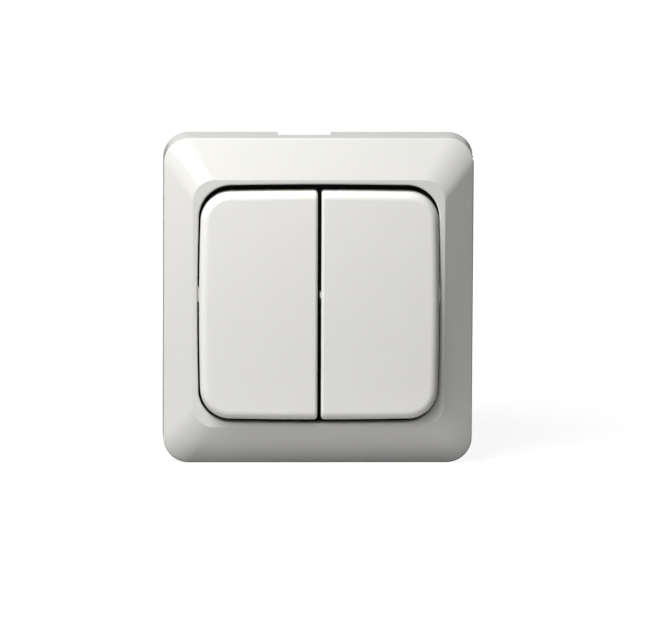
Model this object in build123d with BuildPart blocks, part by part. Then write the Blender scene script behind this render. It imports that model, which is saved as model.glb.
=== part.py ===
"""Flush light switch with two tall rockers in a bevelled cover frame.

X runs to the right, Y into the wall and Z up.  The origin is the middle of the switch on the wall.
Depths are given as p, the distance that a plane stands proud of the wall, so p = -Y.
"""

import os
from math import cos, radians, sin, sqrt

from build123d import *

os.makedirs("parts", exist_ok=True)

# Cover frame
FRAME_WIDTH = 80.0
FRAME_HEIGHT = 85.4
FRAME_CORNER_RADIUS = 6.6
FRAME_DRAFT = 0.1
FRAME_SKIRT = 9.0
FRAME_RISE = 4.4
FRAME_WALL = 2.0
FRAME_EDGE_RADIUS = 0.6
RIDGE_SIZE = 65.0
RIDGE_RADIUS = 5.6
RIDGE_EDGE_RADIUS = 0.4
OPENING_SIZE = 62.7
OPENING_RADIUS = 8.5
OPENING_LIP_RADIUS = 0.5
COLLAR_WALL = 1.1
COLLAR_BACK = 10.6
GUIDE_NUB_LENGTH = 4.0
GUIDE_NUB_GAP = 0.1
GUIDE_NUB_Z = 2.5
PRY_NOTCH_WIDTH = 13.7
PRY_NOTCH_DEPTH = 4.2
PRY_NOTCH_X = -3.6
RIB_THICKNESS = 1.2
RIB_SPACING = 40.0
RIB_BACK = 7.4

# Rockers
SIDE_BULGE = 0.6
END_BULGE = 0.4
ROCKER_SIDE_GAP = 0.3
ROCKER_SIDE_SHIFT = 0.15
ROCKER_END_GAP = 1.55
ROCKER_DROP = 0.65
ROCKER_CENTRE_GAP = 1.0
ROCKER_FACE = 16.0
ROCKER_BACK = 10.6
ROCKER_WALL = 1.6
ROCKER_TOP_WALL = 1.8
ROCKER_EDGE_RADIUS = 2.2
ROCKER_CORNER_RADIUS = 7.8
ROCKER_INNER_RADIUS = 0.8
SPACER_NUB_LENGTH = 1.6
SPACER_NUB_HEIGHT = 0.35
SPACER_NUB_Z = 2.0
HOOK_WIDTH = 3.6
HOOK_THICKNESS = 1.2
HOOK_BARB = 0.7
HOOK_SPACING = 9.0
HOOK_GAP = 0.1
ROCKER_RIB_THICKNESS = 1.2
ROCKER_RIB_SPACING = 24.0

# Rocking axis of the rockers and the tilt at which both stand, pressed in at the top
PIVOT_P = 5.0
ROCKER_TILT = 3.0
GANG_PITCH = 21.0

# Rocker carriers
CARRIER_WIDTH = 16.4
CARRIER_LENGTH = 36.0
CARRIER_THICKNESS = 2.0
CARRIER_CORNER = 1.5
STUB_END_GAP = 0.35
EAR_SIDE_GAP = 0.6
HUB_WIDTH = 12.0
HUB_DEPTH = 8.0
NOSE_DIAMETER = 6.4
NOSE_LENGTH = 5.4
STUB_DIAMETER = 3.0
STUB_CLEARANCE = 0.05
RUNNING_CLEARANCE = 0.4
TOUCH_GAP = 0.3

# Toggle plungers and springs
PLUNGER_DIAMETER = 3.84
PLUNGER_CLEARANCE = 0.08
PLUNGER_LENGTH = 8.2
PLUNGER_FLOOR = 1.3
PLUNGER_BORE = 2.6
PLUNGER_GAP = 0.12
PLUNGER_NOSE_RADIUS = 1.2
SPRING_POCKET_ROOF = 1.2
SPRING_DIAMETER = 2.3
SPRING_WIRE = 0.36
SPRING_TURNS = 5
SPRING_WIRE_SIDES = 6
SPRING_END_GAP = 0.05

# Mounting ring
RING_MARGIN = 2.5
RING_CORNER = 9.0
RING_THICKNESS = 1.2
RING_WINDOW_WIDTH = 40.0
RING_WINDOW_HEIGHT = 42.0
RING_WINDOW_CHAMFER = 5.0
BOX_SCREW_SPACING = 60.0
BOX_SLOT_WIDTH = 3.8
BOX_SLOT_LENGTH = 7.0
TAB_WIDTH = 9.0
TAB_HEIGHT = 6.0
TAB_SPACING = 36.0
TAB_WINDOW_MARGIN = 1.0
TAB_WINDOW_BASE = 2.0
TAB_WINDOW_HEIGHT = 2.4
ARM_THICKNESS = 1.3
ARM_BACK = 0.8
BARB_REACH = 1.1

# Insert housing
BASE_WIDTH = 43.0
BASE_HEIGHT = 46.0
BASE_DEPTH = 20.0
BASE_CHAMFER = 6.0
BASE_EDGE_RADIUS = 0.8
CHAMBER_WIDTH = 9.0
CHAMBER_HALF_LENGTH = 15.2
CHAMBER_WALL = 1.2
POCKET_DEPTH = 18.0
POCKET_CLEARANCE = 0.1
OUTER_WALL = 1.4
COVER_THICKNESS = 1.8
COVER_FIT = 0.2
RIM_WALL = 1.0
RIM_GAP = 0.25
RIM_FRAME_GAP = 0.4
SCREW_WINDOW_WIDTH = 10.0
SCREW_WINDOW_HEIGHT = 9.0
COVER_WINDOW_WIDTH = 10.0
COVER_WINDOW_HEIGHT = 13.0
EAR_THICKNESS = 2.5
MIDDLE_EAR_THICKNESS = 3.0
EAR_RADIUS = 3.4
EAR_FOOT = 9.0
EAR_CLEARANCE = 0.7
COVER_SCREW_X = 18.2
COVER_SCREW_Z = 14.0
COVER_SCREW_DIAMETER = 2.4
COVER_SCREW_LENGTH = 9.0
COVER_SCREW_HEAD = 4.4
COVER_SCREW_HEAD_HEIGHT = 1.6
SCREW_CLEARANCE = 0.05

# Contacts
LEVER_P = -8.0
LEVER_RATIO = 2.0
LEVER_WIDTH = 6.0
LEVER_THICKNESS = 1.2
LEVER_ARM = 9.0
LEVER_END = 2.2
LEVER_CORNER = 1.5
NOTCH_DEPTH = 0.6
NOTCH_HALF_WIDTH = 0.9
KNIFE_GAP = 0.08
KNIFE_HEIGHT = 0.9
STRIP_THICKNESS = 1.0
TIP_DIAMETER = 3.0
TIP_HEIGHT = 0.8
TIP_DOME_RADIUS = 3.9
TIP_SHANK = 1.5
TIP_MARGIN = 0.8
CONTACT_GAP = 0.1
RAIL_BAR_Z = 12.5
RAIL_BAR_HEIGHT = 3.0

# Screw terminals
CLAMP_WIDTH = 6.4
CLAMP_WALL = 0.9
TERMINAL_SCREW_DIAMETER = 3.0
TERMINAL_SCREW_HEAD = 4.4
TERMINAL_SCREW_TIP = 1.5
SCREW_SLOT_WIDTH = 0.8
SCREW_SLOT_DEPTH = 0.7
HEAD_CLEARANCE = 0.2
WIRE_ENTRY_WIDTH = 4.4
WIRE_ENTRY_HEIGHT = 2.2

# Sizes that follow from those above
FRAME_FRONT = FRAME_SKIRT + FRAME_RISE
RING_FRONT = RING_THICKNESS
RING_SIZE = FRAME_WIDTH - 2 * (FRAME_WALL + RING_MARGIN)
RING_HALF = RING_SIZE / 2
CAVITY_DROP = FRAME_WALL * 1.1
PAIR_WIDTH = OPENING_SIZE - 2 * ROCKER_SIDE_GAP
PAIR_HEIGHT = OPENING_SIZE - 2 * ROCKER_END_GAP
COVER_FRONT = RING_FRONT + COVER_THICKNESS
TRAY_SIZE = OPENING_SIZE + 2 * (RIM_GAP + RIM_WALL)
TRAY_RADIUS = OPENING_RADIUS + RIM_GAP + RIM_WALL
RIM_FRONT = COLLAR_BACK - TOUCH_GAP
EAR_TOP = PIVOT_P + EAR_RADIUS
CARRIER_BACK = EAR_TOP + EAR_CLEARANCE
CARRIER_FRONT = CARRIER_BACK + CARRIER_THICKNESS
HUB_BACK = COVER_FRONT + RUNNING_CLEARANCE
NOSE_BACK = HUB_BACK - NOSE_LENGTH
OUTER_EAR_X = GANG_PITCH / 2 + CARRIER_WIDTH / 2 + EAR_SIDE_GAP
LEVER_TILT = LEVER_RATIO * ROCKER_TILT
LEVER_FRONT = LEVER_P - NOTCH_DEPTH + LEVER_THICKNESS
PLUNGER_TIP = LEVER_FRONT + PLUNGER_GAP
SPRING_BACK = PLUNGER_TIP + PLUNGER_FLOOR
SPRING_FRONT = CARRIER_FRONT - SPRING_POCKET_ROOF
TIP_REACH = NOTCH_DEPTH + TIP_HEIGHT
TIP_DROP = (
    LEVER_ARM * sin(radians(LEVER_TILT))
    - (TIP_DOME_RADIUS - TIP_REACH) * cos(radians(LEVER_TILT))
    + TIP_DOME_RADIUS
)
CONTACT_FRONT = LEVER_P - TIP_DROP - CONTACT_GAP
STRIP_FRONT = CONTACT_FRONT - TIP_HEIGHT
STRIP_BACK = STRIP_FRONT - STRIP_THICKNESS
POCKET_START = CHAMBER_HALF_LENGTH + CHAMBER_WALL
POCKET_END = BASE_HEIGHT / 2 - OUTER_WALL
CLAMP_START = POCKET_START + POCKET_CLEARANCE
CLAMP_END = POCKET_END - POCKET_CLEARANCE
CLAMP_FRONT = STRIP_BACK - POCKET_CLEARANCE
CLAMP_BACK = -POCKET_DEPTH
CLAMP_MIDDLE = (CLAMP_FRONT + CLAMP_BACK) / 2
LEG_START = CLAMP_START + CLAMP_WALL
STRIP_WIDTH = CLAMP_WIDTH - 2 * CLAMP_WALL - 2 * POCKET_CLEARANCE
WIRE_Z = LEG_START + STRIP_THICKNESS + WIRE_ENTRY_HEIGHT / 2
GANG_SIGNS = {"left": -1, "right": 1}


def front(p):
    """Plane parallel to the wall at p, with local x to the right and local y up."""
    return Plane.XZ.offset(p)


def swung(p, pivot_p, angle):
    """The plane front(p) turned by an angle about the level axis at pivot_p."""
    turn = radians(angle)
    base = Plane(origin=(0, -pivot_p, 0), x_dir=(1, 0, 0), z_dir=(0, -cos(turn), -sin(turn)))
    return base.offset(p - pivot_p)


def side(x, pivot_p, angle):
    """Upright plane across X, with local x out of the wall from pivot_p and local y up."""
    turn = radians(angle)
    return Plane(
        origin=(x, -pivot_p, 0), x_dir=(0, -cos(turn), -sin(turn)), z_dir=(-1, 0, 0)
    )


def rocker_plane(p):
    """Plane of the rockers as they stand, pressed in at the top."""
    return swung(p, PIVOT_P, -ROCKER_TILT)


def lever_plane(p):
    """Plane of the contact levers, which lean the other way."""
    return swung(p, LEVER_P, LEVER_TILT)


def cushion(width, height, radius):
    """Sketch of a square with four bulging sides and round corners."""
    half_w = width / 2
    half_h = height / 2
    corner_w = half_w - SIDE_BULGE
    corner_h = half_h - END_BULGE
    with BuildSketch() as outline:
        with BuildLine():
            ThreePointArc((-corner_w, corner_h), (0, half_h), (corner_w, corner_h))
            ThreePointArc((corner_w, corner_h), (half_w, 0), (corner_w, -corner_h))
            ThreePointArc((corner_w, -corner_h), (0, -half_h), (-corner_w, -corner_h))
            ThreePointArc((-corner_w, -corner_h), (-half_w, 0), (-corner_w, corner_h))
        make_face()
        fillet(outline.vertices(), radius)
    return outline.sketch


def ring_window(inset):
    """Sketch of the ring's window, drawn in from its edge by the inset."""
    with BuildSketch() as window:
        Rectangle(RING_WINDOW_WIDTH - 2 * inset, RING_WINDOW_HEIGHT - 2 * inset)
        chamfer(window.vertices(), RING_WINDOW_CHAMFER)
    return window.sketch


def save(piece, name):
    """Label a finished piece and write it."""
    piece.part.label = name
    export_step(piece.part, f"parts/{name}.step")


# Hollow behind the bevels, with the collar, ribs and snap arms left standing in it
arm_start = RING_HALF + TOUCH_GAP
cavity_width = FRAME_WIDTH - 2 * FRAME_WALL
cavity_height = FRAME_HEIGHT - 2 * FRAME_WALL
cavity_front = FRAME_FRONT - CAVITY_DROP
cavity_shoulder = FRAME_SKIRT - CAVITY_DROP
with BuildPart() as frame_cavity:
    with BuildSketch(front(0)):
        RectangleRounded(cavity_width, cavity_height, FRAME_CORNER_RADIUS - FRAME_WALL)
    extrude(amount=cavity_shoulder)
    with BuildSketch(front(cavity_shoulder)):
        RectangleRounded(cavity_width, cavity_height, FRAME_CORNER_RADIUS - FRAME_WALL)
    with BuildSketch(front(cavity_front)):
        RectangleRounded(RIDGE_SIZE, RIDGE_SIZE, RIDGE_RADIUS)
    loft(ruled=True)
    # collar round the opening
    with BuildSketch(front(COLLAR_BACK)):
        collar_size = OPENING_SIZE + 2 * COLLAR_WALL
        add(cushion(collar_size, collar_size, OPENING_RADIUS + COLLAR_WALL))
    extrude(amount=FRAME_FRONT, mode=Mode.SUBTRACT)
    # ribs between collar and skirt
    with BuildSketch(front(RIB_BACK)):
        with GridLocations(0, RIB_SPACING, 1, 2):
            Rectangle(FRAME_WIDTH, RIB_THICKNESS)
        with GridLocations(RIB_SPACING, 0, 2, 1):
            Rectangle(RIB_THICKNESS, FRAME_HEIGHT)
    extrude(amount=FRAME_FRONT, mode=Mode.SUBTRACT)
    # room for the rim of the insert cover behind the collar
    with BuildSketch(front(RIB_BACK)):
        room = TRAY_SIZE + 2 * RIM_FRAME_GAP
        add(cushion(room, room, TRAY_RADIUS + RIM_FRAME_GAP))
    extrude(amount=COLLAR_BACK - RIB_BACK)
    # snap arms above and below the mounting ring
    arm_centre = arm_start + ARM_THICKNESS / 2
    arm_width = TAB_WIDTH - 2 * TAB_WINDOW_MARGIN - 2 * TOUCH_GAP
    with BuildSketch(front(ARM_BACK)):
        with GridLocations(TAB_SPACING, 2 * arm_centre, 2, 2):
            Rectangle(arm_width, ARM_THICKNESS)
    extrude(amount=FRAME_FRONT, mode=Mode.SUBTRACT)
    # barbs of the arms
    barb_back = TAB_WINDOW_BASE + TOUCH_GAP
    barb_front = TAB_WINDOW_BASE + TAB_WINDOW_HEIGHT - TOUCH_GAP
    for x in (-TAB_SPACING / 2, TAB_SPACING / 2):
        with BuildSketch(side(x, 0, 0)):
            for up in (1, -1):
                with BuildLine():
                    Polyline(
                        (barb_back, up * arm_start),
                        (barb_front - BARB_REACH / 3, up * (arm_start - BARB_REACH)),
                        (barb_front, up * (arm_start - BARB_REACH)),
                        (barb_front, up * arm_start),
                        close=True,
                    )
                make_face()
        extrude(amount=arm_width / 2, both=True, mode=Mode.SUBTRACT)

# Cover frame: skirt with draft, four sloping bevels, narrow land and the opening
with BuildPart() as cover_frame:
    with BuildSketch(front(0)):
        RectangleRounded(
            FRAME_WIDTH + 2 * FRAME_DRAFT, FRAME_HEIGHT + 2 * FRAME_DRAFT, FRAME_CORNER_RADIUS
        )
    with BuildSketch(front(FRAME_SKIRT)):
        RectangleRounded(FRAME_WIDTH, FRAME_HEIGHT, FRAME_CORNER_RADIUS)
    loft(ruled=True)
    with BuildSketch(front(FRAME_SKIRT)):
        RectangleRounded(FRAME_WIDTH, FRAME_HEIGHT, FRAME_CORNER_RADIUS)
    with BuildSketch(front(FRAME_FRONT)):
        RectangleRounded(RIDGE_SIZE, RIDGE_SIZE, RIDGE_RADIUS)
    loft(ruled=True)
    rim = cover_frame.edges().filter_by_position(Axis.Y, -FRAME_SKIRT - 0.01, -FRAME_SKIRT + 0.01)
    fillet(rim, FRAME_EDGE_RADIUS)
    ridge = cover_frame.faces().sort_by(Axis.Y)[0].edges()
    fillet(ridge, RIDGE_EDGE_RADIUS)
    add(frame_cavity.part, mode=Mode.SUBTRACT)
    # opening, bulged like the rockers in it
    with BuildSketch(front(0)):
        add(cushion(OPENING_SIZE, OPENING_SIZE, OPENING_RADIUS))
    extrude(amount=FRAME_FRONT, mode=Mode.SUBTRACT)
    lip = cover_frame.faces().sort_by(Axis.Y)[0].inner_wires()[0].edges()
    fillet(lip, OPENING_LIP_RADIUS)
    # small nub at the left that takes up the sideways play of the rockers
    nub_height = ROCKER_SIDE_GAP + ROCKER_SIDE_SHIFT - GUIDE_NUB_GAP
    nub_centre = OPENING_SIZE / 2 - nub_height + COLLAR_WALL / 2
    with BuildSketch(front(COLLAR_BACK)):
        with Locations((-nub_centre, GUIDE_NUB_Z)):
            Rectangle(COLLAR_WALL, GUIDE_NUB_LENGTH)
    extrude(amount=FRAME_FRONT - COLLAR_BACK - 2 * OPENING_LIP_RADIUS)
    # notch in the top edge for a screwdriver that lifts the frame
    with BuildSketch(front(0)):
        with Locations((PRY_NOTCH_X, FRAME_HEIGHT / 2)):
            Rectangle(PRY_NOTCH_WIDTH, 2 * FRAME_WALL + 2 * FRAME_DRAFT)
    extrude(amount=PRY_NOTCH_DEPTH, mode=Mode.SUBTRACT)
save(cover_frame, "cover_frame")

# Steel mounting ring with box screw slots and bent tabs for the frame's snap arms
tab_front = RING_FRONT + TAB_HEIGHT
with BuildPart() as support_ring:
    with BuildSketch(front(0)):
        outline = Rectangle(RING_SIZE, RING_SIZE)
        chamfer(outline.vertices(), RING_CORNER)
        add(ring_window(0), mode=Mode.SUBTRACT)
        with GridLocations(BOX_SCREW_SPACING, 0, 2, 1):
            SlotOverall(BOX_SLOT_LENGTH, BOX_SLOT_WIDTH, mode=Mode.SUBTRACT)
    extrude(amount=RING_THICKNESS)
    # bent tabs
    with BuildSketch(front(0)):
        with GridLocations(TAB_SPACING, RING_SIZE - RING_THICKNESS, 2, 2):
            Rectangle(TAB_WIDTH, RING_THICKNESS)
    extrude(amount=tab_front)
    # windows that the barbs catch in
    window_width = TAB_WIDTH - 2 * TAB_WINDOW_MARGIN
    with BuildSketch(Plane.XY):
        with Locations((-TAB_SPACING / 2, -TAB_WINDOW_BASE - TAB_WINDOW_HEIGHT / 2)):
            Rectangle(window_width, TAB_WINDOW_HEIGHT)
        with Locations((TAB_SPACING / 2, -TAB_WINDOW_BASE - TAB_WINDOW_HEIGHT / 2)):
            Rectangle(window_width, TAB_WINDOW_HEIGHT)
    extrude(amount=RING_SIZE, both=True, mode=Mode.SUBTRACT)
save(support_ring, "support_ring")


def rocker_pair(inset):
    """Outline of both rockers together, drawn in from its edge by the inset."""
    pair = cushion(PAIR_WIDTH - 2 * inset, PAIR_HEIGHT - 2 * inset, ROCKER_CORNER_RADIUS - inset)
    with BuildSketch() as outline:
        with Locations((ROCKER_SIDE_SHIFT, -ROCKER_DROP)):
            add(pair)
    return outline.sketch


def rocker_half(sign, inset):
    """Outline of one rocker of the pair, drawn in from its edge by the inset."""
    inner = ROCKER_CENTRE_GAP / 2 + inset
    with BuildSketch() as outline:
        add(rocker_pair(inset))
        with Locations((ROCKER_SIDE_SHIFT + sign * (inner + PAIR_WIDTH / 2), -ROCKER_DROP)):
            Rectangle(PAIR_WIDTH, PAIR_HEIGHT, mode=Mode.INTERSECT)
    return outline.sketch


def make_rocker(sign):
    """Thin rocker shell with a bulged outer side, ribs and hooks for its carrier."""
    gang_x = sign * GANG_PITCH / 2
    inner = ROCKER_SIDE_SHIFT + sign * ROCKER_CENTRE_GAP / 2
    roof = ROCKER_FACE - ROCKER_TOP_WALL
    with BuildPart() as rocker:
        with BuildSketch(rocker_plane(ROCKER_BACK)):
            add(rocker_pair(0))
        extrude(amount=ROCKER_FACE - ROCKER_BACK)
        fillet(rocker.faces().sort_by(Axis.Y)[0].edges(), ROCKER_EDGE_RADIUS)
        split(bisect_by=Plane.YZ.offset(inner), keep=Keep.TOP if sign > 0 else Keep.BOTTOM)
        inner_side = rocker.faces().sort_by(lambda face: abs(face.center().X - inner))[0]
        fillet(inner_side.edges().sort_by(Axis.Y)[0:-1], ROCKER_INNER_RADIUS)
        with BuildSketch(rocker_plane(ROCKER_BACK)):
            add(rocker_half(sign, ROCKER_WALL))
        extrude(amount=roof - ROCKER_BACK, mode=Mode.SUBTRACT)
        # cross ribs that rest on the carrier
        rib_length = PAIR_WIDTH / 2 - ROCKER_CENTRE_GAP / 2 - ROCKER_WALL
        rib_x = inner + sign * (ROCKER_WALL / 2 + rib_length / 2)
        with BuildSketch(rocker_plane(CARRIER_FRONT)):
            with Locations((rib_x, 0)):
                with GridLocations(0, ROCKER_RIB_SPACING, 1, 2):
                    Rectangle(rib_length, ROCKER_RIB_THICKNESS)
        extrude(amount=roof - CARRIER_FRONT)
        # hooks that grip the carrier's ends
        leg_start = CARRIER_LENGTH / 2 + HOOK_GAP
        barb_front = CARRIER_BACK - HOOK_GAP - PIVOT_P
        barb_back = barb_front - HOOK_THICKNESS
        for hook_x in (gang_x - HOOK_SPACING / 2, gang_x + HOOK_SPACING / 2):
            with BuildSketch(side(hook_x, PIVOT_P, -ROCKER_TILT)):
                for up in (1, -1):
                    with BuildLine():
                        Polyline(
                            (roof - PIVOT_P, up * leg_start),
                            (barb_front, up * leg_start),
                            (barb_front, up * (leg_start - HOOK_BARB)),
                            (barb_back, up * (leg_start + HOOK_THICKNESS / 2)),
                            (barb_back, up * (leg_start + HOOK_THICKNESS)),
                            (roof - PIVOT_P, up * (leg_start + HOOK_THICKNESS)),
                            close=True,
                        )
                    make_face()
            extrude(amount=HOOK_WIDTH / 2, both=True)
        if sign > 0:
            # nub that keeps the two rockers apart at mid-height
            with BuildSketch(rocker_plane(ROCKER_BACK)):
                with Locations((inner - SPACER_NUB_HEIGHT / 2 + ROCKER_WALL / 4, SPACER_NUB_Z)):
                    Rectangle(SPACER_NUB_HEIGHT + ROCKER_WALL / 2, SPACER_NUB_LENGTH)
            extrude(amount=roof - ROCKER_BACK)
    return rocker


def make_carrier(sign):
    """Plate with a hub, stub axles and the spring pocket in its nose."""
    gang_x = sign * GANG_PITCH / 2
    stub_start = STUB_END_GAP
    stub_end = OUTER_EAR_X + EAR_THICKNESS - STUB_END_GAP
    with BuildPart() as carrier:
        with BuildSketch(rocker_plane(CARRIER_BACK)):
            with Locations((gang_x, 0)):
                RectangleRounded(CARRIER_WIDTH, CARRIER_LENGTH, CARRIER_CORNER)
        extrude(amount=CARRIER_THICKNESS)
        with BuildSketch(rocker_plane(HUB_BACK)):
            with Locations((gang_x, 0)):
                Rectangle(HUB_WIDTH, HUB_DEPTH)
        extrude(amount=CARRIER_BACK - HUB_BACK)
        with BuildSketch(Plane.YZ.offset(sign * (stub_start + stub_end) / 2)):
            with Locations((-PIVOT_P, 0)):
                Circle(STUB_DIAMETER / 2)
        extrude(amount=(stub_end - stub_start) / 2, both=True)
        with BuildSketch(rocker_plane(NOSE_BACK)):
            with Locations((gang_x, 0)):
                Circle(NOSE_DIAMETER / 2)
        extrude(amount=NOSE_LENGTH)
        with BuildSketch(rocker_plane(NOSE_BACK)):
            with Locations((gang_x, 0)):
                Circle(PLUNGER_DIAMETER / 2 + PLUNGER_CLEARANCE)
        extrude(amount=SPRING_FRONT - NOSE_BACK, mode=Mode.SUBTRACT)
    return carrier


def make_plunger(sign):
    """Round-nosed cup that the spring pushes against the contact lever."""
    gang_x = sign * GANG_PITCH / 2
    with BuildPart() as plunger:
        with BuildSketch(rocker_plane(PLUNGER_TIP)):
            with Locations((gang_x, 0)):
                Circle(PLUNGER_DIAMETER / 2)
        extrude(amount=PLUNGER_LENGTH)
        fillet(plunger.edges().sort_by(Axis.Y)[-1], PLUNGER_NOSE_RADIUS)
        with BuildSketch(rocker_plane(SPRING_BACK)):
            with Locations((gang_x, 0)):
                Circle(PLUNGER_BORE / 2)
        extrude(amount=PLUNGER_LENGTH, mode=Mode.SUBTRACT)
    return plunger


def make_spring(sign):
    """Coil spring between the plunger's floor and the roof of the pocket."""
    gang_x = sign * GANG_PITCH / 2
    height = SPRING_FRONT - SPRING_BACK - SPRING_WIRE - 2 * SPRING_END_GAP
    foot = rocker_plane(SPRING_BACK + SPRING_WIRE / 2 + SPRING_END_GAP)
    middle = foot.from_local_coords((gang_x, 0, 0))
    with BuildPart() as spring:
        with BuildLine():
            coil = Helix(
                height / SPRING_TURNS,
                height,
                (SPRING_DIAMETER - SPRING_WIRE) / 2,
                center=middle,
                direction=foot.z_dir,
            )
        with BuildSketch(Plane(origin=coil @ 0, z_dir=coil % 0)):
            RegularPolygon(SPRING_WIRE / 2, SPRING_WIRE_SIDES)
        sweep()
    return spring


def make_lever(sign):
    """Contact lever with a notch that rides on the knife edge of the feed rail."""
    gang_x = sign * GANG_PITCH / 2
    half = LEVER_ARM + LEVER_END
    with BuildPart() as lever:
        with BuildSketch(lever_plane(LEVER_P - NOTCH_DEPTH)):
            with Locations((gang_x, 0)):
                RectangleRounded(LEVER_WIDTH, 2 * half, LEVER_CORNER)
        extrude(amount=LEVER_THICKNESS)
        with BuildSketch(side(gang_x, LEVER_P, LEVER_TILT)):
            with BuildLine():
                Polyline(
                    (KNIFE_GAP, 0),
                    (-NOTCH_DEPTH, NOTCH_HALF_WIDTH),
                    (-NOTCH_DEPTH, -NOTCH_HALF_WIDTH),
                    close=True,
                )
            make_face()
        extrude(amount=LEVER_WIDTH, both=True, mode=Mode.SUBTRACT)
        with BuildSketch(lever_plane(LEVER_P - NOTCH_DEPTH)):
            with Locations((gang_x, -LEVER_ARM)):
                Circle(TIP_SHANK / 2)
        extrude(amount=LEVER_THICKNESS, mode=Mode.SUBTRACT)
    return lever


def make_moving_contact(sign):
    """Silver rivet with a domed face, set in the lower end of the lever."""
    dome = TIP_DOME_RADIUS - sqrt(TIP_DOME_RADIUS**2 - (TIP_DIAMETER / 2) ** 2)
    axis_plane = side(sign * GANG_PITCH / 2, LEVER_P, LEVER_TILT)
    with BuildPart() as contact:
        with BuildSketch(axis_plane):
            with BuildLine():
                Line((-TIP_REACH, -LEVER_ARM), (-NOTCH_DEPTH + LEVER_THICKNESS, -LEVER_ARM))
                Polyline(
                    (-NOTCH_DEPTH + LEVER_THICKNESS, -LEVER_ARM),
                    (-NOTCH_DEPTH + LEVER_THICKNESS, -LEVER_ARM - TIP_SHANK / 2),
                    (-NOTCH_DEPTH, -LEVER_ARM - TIP_SHANK / 2),
                    (-NOTCH_DEPTH, -LEVER_ARM - TIP_DIAMETER / 2),
                    (-TIP_REACH + dome, -LEVER_ARM - TIP_DIAMETER / 2),
                )
                RadiusArc(
                    (-TIP_REACH + dome, -LEVER_ARM - TIP_DIAMETER / 2),
                    (-TIP_REACH, -LEVER_ARM),
                    TIP_DOME_RADIUS,
                )
            make_face()
        middle = axis_plane.from_local_coords((0, -LEVER_ARM, 0))
        revolve(axis=Axis(middle, axis_plane.x_dir))
    return contact


def strip_profile(start, up):
    """Side view of a contact strip from its inner end to the leg inside a clamp."""
    leg_end = LEG_START + STRIP_THICKNESS
    leg_tip = CLAMP_BACK + STRIP_THICKNESS
    with BuildSketch() as profile:
        with BuildLine():
            Polyline(
                (STRIP_FRONT, up * start),
                (STRIP_FRONT, up * leg_end),
                (leg_tip, up * leg_end),
                (leg_tip, up * LEG_START),
                (STRIP_BACK, up * LEG_START),
                (STRIP_BACK, up * start),
                close=True,
            )
        make_face()
        bend = profile.vertices().sort_by_distance((STRIP_FRONT, up * leg_end))[0]
        fillet(bend, STRIP_THICKNESS)
    return profile.sketch


def make_contact_strip(sign):
    """Output strip that carries the fixed contact and ends in the lower clamp."""
    gang_x = sign * GANG_PITCH / 2
    with BuildPart() as strip:
        with BuildSketch(side(gang_x, 0, 0)):
            add(strip_profile(LEVER_ARM - TIP_DIAMETER / 2 - TIP_MARGIN, -1))
        extrude(amount=STRIP_WIDTH / 2, both=True)
        with BuildSketch(front(STRIP_BACK)):
            with Locations((gang_x, -LEVER_ARM)):
                Circle(TIP_SHANK / 2)
        extrude(amount=STRIP_THICKNESS, mode=Mode.SUBTRACT)
    return strip


def make_fixed_contact(sign):
    """Silver rivet in the output strip."""
    gang_x = sign * GANG_PITCH / 2
    with BuildPart() as contact:
        with BuildSketch(front(STRIP_BACK)):
            with Locations((gang_x, -LEVER_ARM)):
                Circle(TIP_SHANK / 2)
        extrude(amount=STRIP_THICKNESS)
        with BuildSketch(front(STRIP_FRONT)):
            with Locations((gang_x, -LEVER_ARM)):
                Circle(TIP_DIAMETER / 2)
        extrude(amount=TIP_HEIGHT)
    return contact


def make_clamp(sign, up):
    """Brass cage that squeezes a wire against the leg of a strip."""
    gang_x = sign * GANG_PITCH / 2
    clamp_height = CLAMP_END - CLAMP_START
    with BuildPart() as clamp:
        with BuildSketch(front(CLAMP_BACK)):
            with Locations((gang_x, up * (CLAMP_START + CLAMP_END) / 2)):
                Rectangle(CLAMP_WIDTH, clamp_height)
                Rectangle(
                    CLAMP_WIDTH - 2 * CLAMP_WALL, clamp_height - 2 * CLAMP_WALL, mode=Mode.SUBTRACT
                )
        extrude(amount=CLAMP_FRONT - CLAMP_BACK)
        with BuildSketch(Plane.XY.offset(up * CLAMP_END)):
            with Locations((gang_x, -CLAMP_MIDDLE)):
                Circle(TERMINAL_SCREW_DIAMETER / 2 + SCREW_CLEARANCE)
        extrude(amount=-up * CLAMP_WALL, mode=Mode.SUBTRACT)
    return clamp


for name, sign in GANG_SIGNS.items():
    save(make_rocker(sign), f"rocker_{name}")
    save(make_carrier(sign), f"rocker_carrier_{name}")
    save(make_plunger(sign), f"plunger_{name}")
    save(make_spring(sign), f"toggle_spring_{name}")
    save(make_lever(sign), f"contact_lever_{name}")
    save(make_moving_contact(sign), f"moving_contact_{name}")
    save(make_contact_strip(sign), f"contact_strip_{name}")
    save(make_fixed_contact(sign), f"fixed_contact_{name}")
    save(make_clamp(sign, 1), f"feed_clamp_{name}")
    save(make_clamp(sign, -1), f"output_clamp_{name}")

# Feed rail: one copper piece with two knife edges and a leg for each upper clamp
with BuildPart() as feed_rail:
    for x in (-GANG_PITCH / 2, GANG_PITCH / 2):
        with BuildSketch(side(x, 0, 0)):
            add(strip_profile(-STRIP_THICKNESS / 2, 1))
            with BuildLine():
                Polyline(
                    (STRIP_BACK, -STRIP_THICKNESS / 2),
                    (LEVER_P - KNIFE_HEIGHT, -STRIP_THICKNESS / 2),
                    (LEVER_P, 0),
                    (LEVER_P - KNIFE_HEIGHT, STRIP_THICKNESS / 2),
                    (STRIP_BACK, STRIP_THICKNESS / 2),
                    close=True,
                )
            make_face()
        extrude(amount=STRIP_WIDTH / 2, both=True)
    with BuildSketch(front(STRIP_BACK)):
        with Locations((0, RAIL_BAR_Z)):
            Rectangle(GANG_PITCH, RAIL_BAR_HEIGHT)
    extrude(amount=STRIP_THICKNESS)
save(feed_rail, "feed_rail")

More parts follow.
